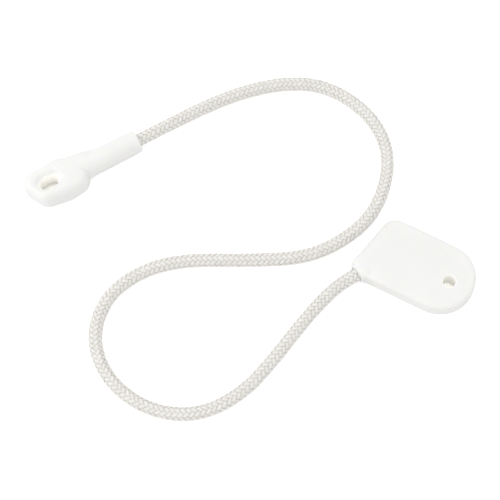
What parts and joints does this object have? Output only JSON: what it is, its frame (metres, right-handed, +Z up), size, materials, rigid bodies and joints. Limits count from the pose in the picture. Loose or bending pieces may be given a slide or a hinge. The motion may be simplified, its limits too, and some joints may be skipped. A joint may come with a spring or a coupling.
{
  "type": "door balance cord",
  "caption": "Braided cord with a moulded plate on one end, pierced for a pin, and a moulded eyelet with a slot-shaped eye on the other.",
  "frame": {"origin": "centre of the anchor plate's pin hole, in the plate's underside, on the plane the part lies on", "axes": "+Z up along the pin hole; +X along the eyelet from its ring towards its neck; +Y completes a right-handed frame"},
  "size_m": [0.1099, 0.0974, 0.0075],
  "materials": {
    "moulding": "satin natural-white nylon, slightly translucent",
    "braid": "tight two-over-two braid of white filament yarn",
    "core_yarn": "parallel white filament yarn",
    "melted_end": "yarn ends melted into a bead"
  },
  "bodies": {
    "plate_end": {"anchor_plate": "moulding", "plate_tail_cover": "braid", "plate_tail_core": "core_yarn", "plate_tail_seal": "melted_end"},
    "cord": {"plate_root_cover": "braid", "plate_root_core": "core_yarn", "cord_cover": "braid", "cord_core": "core_yarn", "eyelet_root_cover": "braid", "eyelet_root_core": "core_yarn"},
    "eyelet_end": {"spring_eyelet": "moulding", "eyelet_tail_cover": "braid", "eyelet_tail_core": "core_yarn", "eyelet_tail_seal": "melted_end"}
  },
  "joints": [
    {"name": "plate_flex", "type": "hinge", "parent": "plate_end", "child": "cord", "pos_m": [-0.02079, 0.0159, 0.0027], "axis": [0, 0, 1], "range_deg": [-8, 45], "deforming": ["plate_root_cover", "plate_root_core"]},
    {"name": "eyelet_flex", "type": "hinge", "parent": "cord", "child": "eyelet_end", "pos_m": [-0.05459, 0.0844, 0.00375], "axis": [0, 0, 1], "range_deg": [-45, 45], "deforming": ["eyelet_root_cover", "eyelet_root_core"]}
  ]
}
